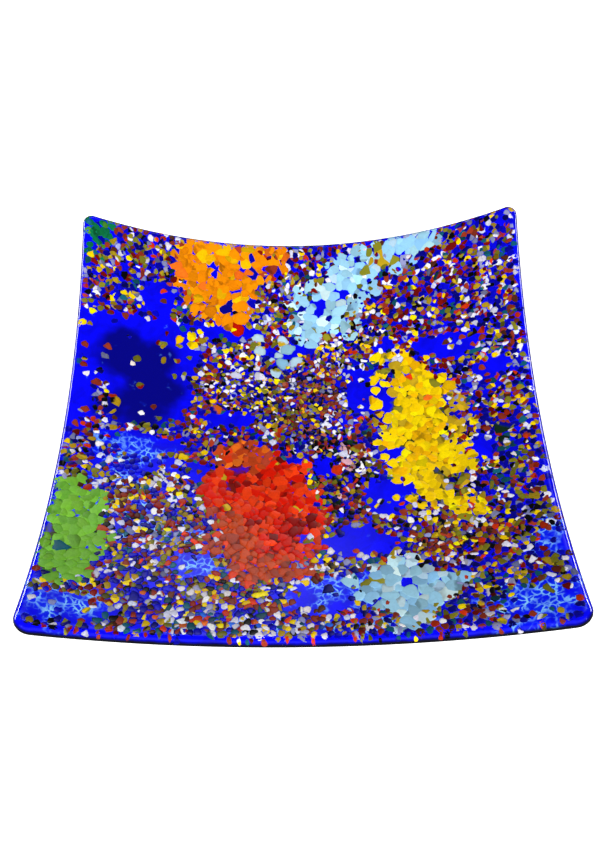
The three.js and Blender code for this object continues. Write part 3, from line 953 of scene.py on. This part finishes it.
# %% [markdown]
# Cobalt is one of the strongest colours that glass can have: a few millimetres turn white light deep
# blue. So the glass is shaded as opaque, and its depth is painted on it. The first group below turns a
# soft mask into an uneven patch: it adds a noise to the mask and keeps what comes out above a level.
# The second draws the seams. Where cobalt was broken small, light runs along the cracks between its
# grains, and the cracks are the borders of Voronoi cells.

# %% Cobalt glass material
def patch_group():
    """A soft mask made uneven by noise."""
    group, start, end = new_group(
        "uneven_patch",
        [("Mask", "NodeSocketFloat", 1.0), ("Scale", "NodeSocketFloat", 120.0),
         ("Uneven", "NodeSocketFloat", 1.0), ("Level", "NodeSocketFloat", 0.5),
         ("Softness", "NodeSocketFloat", 0.15)],
        [("Patch", "NodeSocketFloat")])
    link = group.links.new
    place = node(group, "ShaderNodeTexCoord")
    cloud = node(group, "ShaderNodeTexNoise", Detail=2.0, Roughness=0.55)
    link(place.outputs["Object"], cloud.inputs["Vector"])
    link(start.outputs["Scale"], cloud.inputs["Scale"])
    middle = node(group, "ShaderNodeMath", operation="SUBTRACT")
    link(cloud.outputs[0], middle.inputs[0])
    middle.inputs[1].default_value = 0.5
    mixed = node(group, "ShaderNodeMath", operation="MULTIPLY_ADD")
    link(middle.outputs[0], mixed.inputs[0])
    link(start.outputs["Uneven"], mixed.inputs[1])
    link(start.outputs["Mask"], mixed.inputs[2])
    low = node(group, "ShaderNodeMath", operation="SUBTRACT")
    link(start.outputs["Level"], low.inputs[0])
    link(start.outputs["Softness"], low.inputs[1])
    high = node(group, "ShaderNodeMath", operation="ADD")
    link(start.outputs["Level"], high.inputs[0])
    link(start.outputs["Softness"], high.inputs[1])
    step = node(group, "ShaderNodeMapRange", interpolation_type="SMOOTHSTEP")
    link(mixed.outputs[0], step.inputs["Value"])
    link(low.outputs[0], step.inputs["From Min"])
    link(high.outputs[0], step.inputs["From Max"])
    link(step.outputs[0], end.inputs["Patch"])
    return group


def seam_group():
    """Pale lines between cells: how near each place is to a crack, from 0 to 1."""
    group, start, end = new_group(
        "pale_seams",
        [("Scale", "NodeSocketFloat", 170.0), ("Width", "NodeSocketFloat", 0.25)],
        [("Seam", "NodeSocketFloat")])
    link = group.links.new
    place = node(group, "ShaderNodeTexCoord")
    wander = node(group, "ShaderNodeTexNoise", Scale=260.0, Detail=2.0)
    link(place.outputs["Object"], wander.inputs["Vector"])
    shift = node(group, "ShaderNodeVectorMath", operation="MULTIPLY_ADD")
    link(wander.outputs["Color"], shift.inputs[0])
    shift.inputs[1].default_value = (0.005, 0.005, 0.0)
    link(place.outputs["Object"], shift.inputs[2])
    cells = node(group, "ShaderNodeTexVoronoi", feature="DISTANCE_TO_EDGE")
    link(shift.outputs[0], cells.inputs["Vector"])
    link(start.outputs["Scale"], cells.inputs["Scale"])
    line = node(group, "ShaderNodeMapRange", interpolation_type="SMOOTHERSTEP", To_Min=1.0, To_Max=0.0)
    link(cells.outputs["Distance"], line.inputs["Value"])
    link(start.outputs["Width"], line.inputs["From Max"])
    link(line.outputs[0], end.inputs["Seam"])
    return group


PATCH, SEAMS = patch_group(), seam_group()


def layered(tree, below, mask_name, colour, scale, uneven, level, softness, seams=None):
    """Lays a colour over the one below, where a painted mask and its noise let it."""
    mask = node(tree, "ShaderNodeAttribute", attribute_name=mask_name)
    patch = node(tree, "ShaderNodeGroup", node_tree=PATCH)
    for label, value in (("Scale", scale), ("Uneven", uneven), ("Level", level), ("Softness", softness)):
        patch.inputs[label].default_value = value
    tree.links.new(mask.outputs["Fac"], patch.inputs["Mask"])
    cover = patch.outputs["Patch"]
    if seams:
        lines = node(tree, "ShaderNodeGroup", node_tree=SEAMS)
        lines.inputs["Scale"].default_value, lines.inputs["Width"].default_value = seams
        both = node(tree, "ShaderNodeMath", operation="MULTIPLY")
        tree.links.new(cover, both.inputs[0])
        tree.links.new(lines.outputs["Seam"], both.inputs[1])
        cover = both.outputs[0]
    blend = node(tree, "ShaderNodeMix", data_type="RGBA")
    tree.links.new(cover, blend.inputs["Factor"])
    tree.links.new(below, blend.inputs[6])
    blend.inputs[7].default_value = (*colour, 1)
    return blend.outputs[2]


BED_COLOURS = [  # mask, colour, scale and depth of its noise, level, softness, seams' scale and width
    ("navy_shade", "#00007c", 55, 1.3, 0.5, 0.35), ("olive_shade", "#3c420c", 160, 1.6, 0.7, 0.2),
    ("red_shade", "#6a0c04", 160, 1.2, 0.6, 0.2), ("black_shade", "#04030c", 300, 3.0, 0.85, 0.2),
    ("pale_seams", "#0634f0", 110, 2.6, 0.85, 0.5, (240, 0.6)),
    ("pale_seams", "#8cd0fc", 110, 3.0, 1.0, 0.5, (240, 0.17)),
    # painted shade, darkest where the rim faces down
    ("rim_painted_shade", "#010112", 120, 0.5, 0.5, 0.4),
]


def bed_glass():
    """The melted cobalt bed: clouds of navy, dim tints with painted shade in the pools, pale seams, and
    painted shade under the rim.
    """
    material, tree, shader = polished("cobalt_bed_glass", 0.08)
    streaks = node(tree, "ShaderNodeGroup", node_tree=STREAKS)
    streaks.inputs["Colour"].default_value = (*GLASS["cobalt"], 1)
    streaks.inputs["Depth"].default_value = 0.25
    streaks.inputs["Scale"].default_value = 60.0
    colour = streaks.outputs["Colour"]
    for mask_name, code, *look in BED_COLOURS:
        colour = layered(tree, colour, mask_name, linear(code), *look)
    tree.links.new(colour, shader.inputs["Base Color"])
    return material


def sheet_glass(name, colour, roughness):
    """A plain sheet of cobalt, slightly clouded, seen at the rim and from below. Its colour is given darker
    than the bed's, as painted shade.
    """
    material, tree, shader = polished(name, roughness)
    link = tree.links.new
    streaks = node(tree, "ShaderNodeGroup", node_tree=STREAKS)
    streaks.inputs["Colour"].default_value = (*colour, 1)
    streaks.inputs["Depth"].default_value = 0.4
    streaks.inputs["Scale"].default_value = 60.0
    link(streaks.outputs["Colour"], shader.inputs["Base Color"])
    polish = node(tree, "ShaderNodeBump", Strength=0.05, Distance=0.001)
    link(streaks.outputs["Height"], polish.inputs["Height"])
    link(polish.outputs["Normal"], shader.inputs["Normal"])
    return material


bed.data.materials.append(bed_glass())
# Painted shade: the sheets are the bed's cobalt made darker, the base almost black, so the rim darkens
# downwards.
middle.data.materials.append(sheet_glass("middle_sheet_glass", linear("#02027c"), 0.12))
base.data.materials.append(sheet_glass("base_sheet_glass", linear("#010118"), 0.3))

# %% [markdown]
# ## The studio
# Glass shows what stands around it. Two large soft lights stand in front. The glass doesn't mirror
# them, so its colours stay deep. Low strips at both sides draw the thin bright lines along the rim.
# Only the cobalt bed mirrors those: if the grains did too, low views would be washed out. The room
# itself is dim, but for a soft panel low behind the dish, which the front wall mirrors as a pale haze,
# and a soft glow in front, which shows the polish from behind.

# %% Room
PANEL_TURN, PANEL_HEIGHT = math.radians(9), math.radians(39)  # of its middle, as seen from the dish
PANEL_HALF_WIDTH, PANEL_HALF_HEIGHT = math.radians(12), math.radians(10)
GLOW_HALF_WIDTH, GLOW_HEIGHT, GLOW_HALF_HEIGHT = math.radians(60), math.radians(38), math.radians(18)
ROOM_LIGHT, PANEL_LIGHT, GLOW_LIGHT = 0.06, 1.1, 0.35

world = bpy.data.worlds.new("room")
bpy.context.scene.world = world
world.use_nodes = True
room = world.node_tree
link = room.links.new
sky = room.nodes["Background"]
sky.inputs["Color"].default_value = (1, 1, 1, 1)


def math_node(operation, first, second=None):
    """A Math node in the room's tree. Its inputs may be sockets or numbers."""
    made = node(room, "ShaderNodeMath", operation=operation)
    for socket, value in zip(made.inputs, (first, second)):
        if isinstance(value, bpy.types.NodeSocket):
            link(value, socket)
        elif value is not None:
            socket.default_value = value
    return made.outputs[0]


def soft_window(angle, middle, half, softness=math.radians(9)):
    """1 within half of the middle, falling softly to 0."""
    away = math_node("ABSOLUTE", math_node("SUBTRACT", angle, middle))
    fade = node(room, "ShaderNodeMapRange", interpolation_type="SMOOTHSTEP", From_Min=half - softness,
                From_Max=half + softness, To_Min=1.0, To_Max=0.0)
    link(away, fade.inputs["Value"])
    return fade.outputs[0]


place = node(room, "ShaderNodeTexCoord")
split = node(room, "ShaderNodeSeparateXYZ")
link(place.outputs["Generated"], split.inputs[0])
turned = math_node("ARCTAN2", split.outputs["X"], split.outputs["Y"])
height = math_node("ARCSINE", split.outputs["Z"])
panel = math_node("MULTIPLY", soft_window(turned, PANEL_TURN, PANEL_HALF_WIDTH),
                  soft_window(height, PANEL_HEIGHT, PANEL_HALF_HEIGHT))
in_front = math_node("MULTIPLY", soft_window(math_node("ABSOLUTE", turned), math.pi, GLOW_HALF_WIDTH),
                     soft_window(height, GLOW_HEIGHT, GLOW_HALF_HEIGHT))
lit = math_node("ADD", math_node("MULTIPLY", panel, PANEL_LIGHT), ROOM_LIGHT)
lit = math_node("ADD", math_node("MULTIPLY", in_front, GLOW_LIGHT), lit)
camera_sees = node(room, "ShaderNodeLightPath").outputs["Is Camera Ray"]
backdrop = math_node("MAXIMUM", lit, camera_sees)
link(backdrop, sky.inputs["Strength"])

# %% Lights and floor
def soft_light(name, place, width, depth, power, mirrored_in=None):
    """A rectangular light at place that faces the dish.

    Without mirrored_in no glass mirrors it. With it, it lights and is mirrored in that piece alone.
    """
    light = bpy.data.lights.new(name, "AREA")
    light.shape = "RECTANGLE"
    light.size, light.size_y, light.energy = width, depth, power
    lamp = bpy.data.objects.new(name, light)
    lamp.matrix_world = (Matrix.Translation(place)
                         @ Vector(place).to_track_quat("Z", "Y").to_matrix().to_4x4())
    lamp.visible_glossy = mirrored_in is not None
    collection.objects.link(lamp)
    if mirrored_in:
        lit_piece = bpy.data.collections.new(name + "_receiver")
        lit_piece.objects.link(mirrored_in)
        lamp.light_linking.receiver_collection = lit_piece


FRONT_SIDE, FRONT_POWER = 1.2, 80  # metres, watts
STRIP_LENGTH, STRIP_WIDTH, STRIP_POWER = 1.1, 0.24, 15
SIDES_OF_DISH = (("left", -1), ("right", 1))
for side, sign in SIDES_OF_DISH:
    soft_light(f"front_{side}_light", (sign * 2.1, -1.5, 1.9), FRONT_SIDE, FRONT_SIDE, FRONT_POWER)
for side, sign in SIDES_OF_DISH:
    soft_light(f"{side}_strip", (sign * 1.45, 0.75, 0.3), STRIP_LENGTH, STRIP_WIDTH, STRIP_POWER, bed)

FLOOR_HALF = 4.0
floor_mesh = bpy.data.meshes.new("floor")
floor_mesh.from_pydata([(x, y, 0) for x, y in ((-1, -1), (1, -1), (1, 1), (-1, 1))], [], [(0, 1, 2, 3)])
floor_mesh.transform(Matrix.Diagonal((FLOOR_HALF, FLOOR_HALF, 1, 1)))
floor = bpy.data.objects.new("floor", floor_mesh)
collection.objects.link(floor)
paper, paper_tree, paper_shader = polished("white_paper", 0.7)
ray = node(paper_tree, "ShaderNodeLightPath")
paper_tree.links.new(ray.outputs["Is Camera Ray"], paper_shader.inputs["Emission Color"])
paper_shader.inputs["Emission Strength"].default_value = 0.8
seen_in_glass = ray.outputs["Is Glossy Ray"]
paper_colour = node(paper_tree, "ShaderNodeMix", data_type="RGBA")
paper_colour.inputs[6].default_value = (0.95, 0.95, 0.95, 1)
paper_colour.inputs[7].default_value = (0.12, 0.12, 0.13, 1)
paper_tree.links.new(seen_in_glass, paper_colour.inputs["Factor"])
paper_tree.links.new(paper_colour.outputs[2], paper_shader.inputs["Base Color"])
floor_mesh.materials.append(paper)

bpy.context.scene.view_settings.view_transform = "Standard"
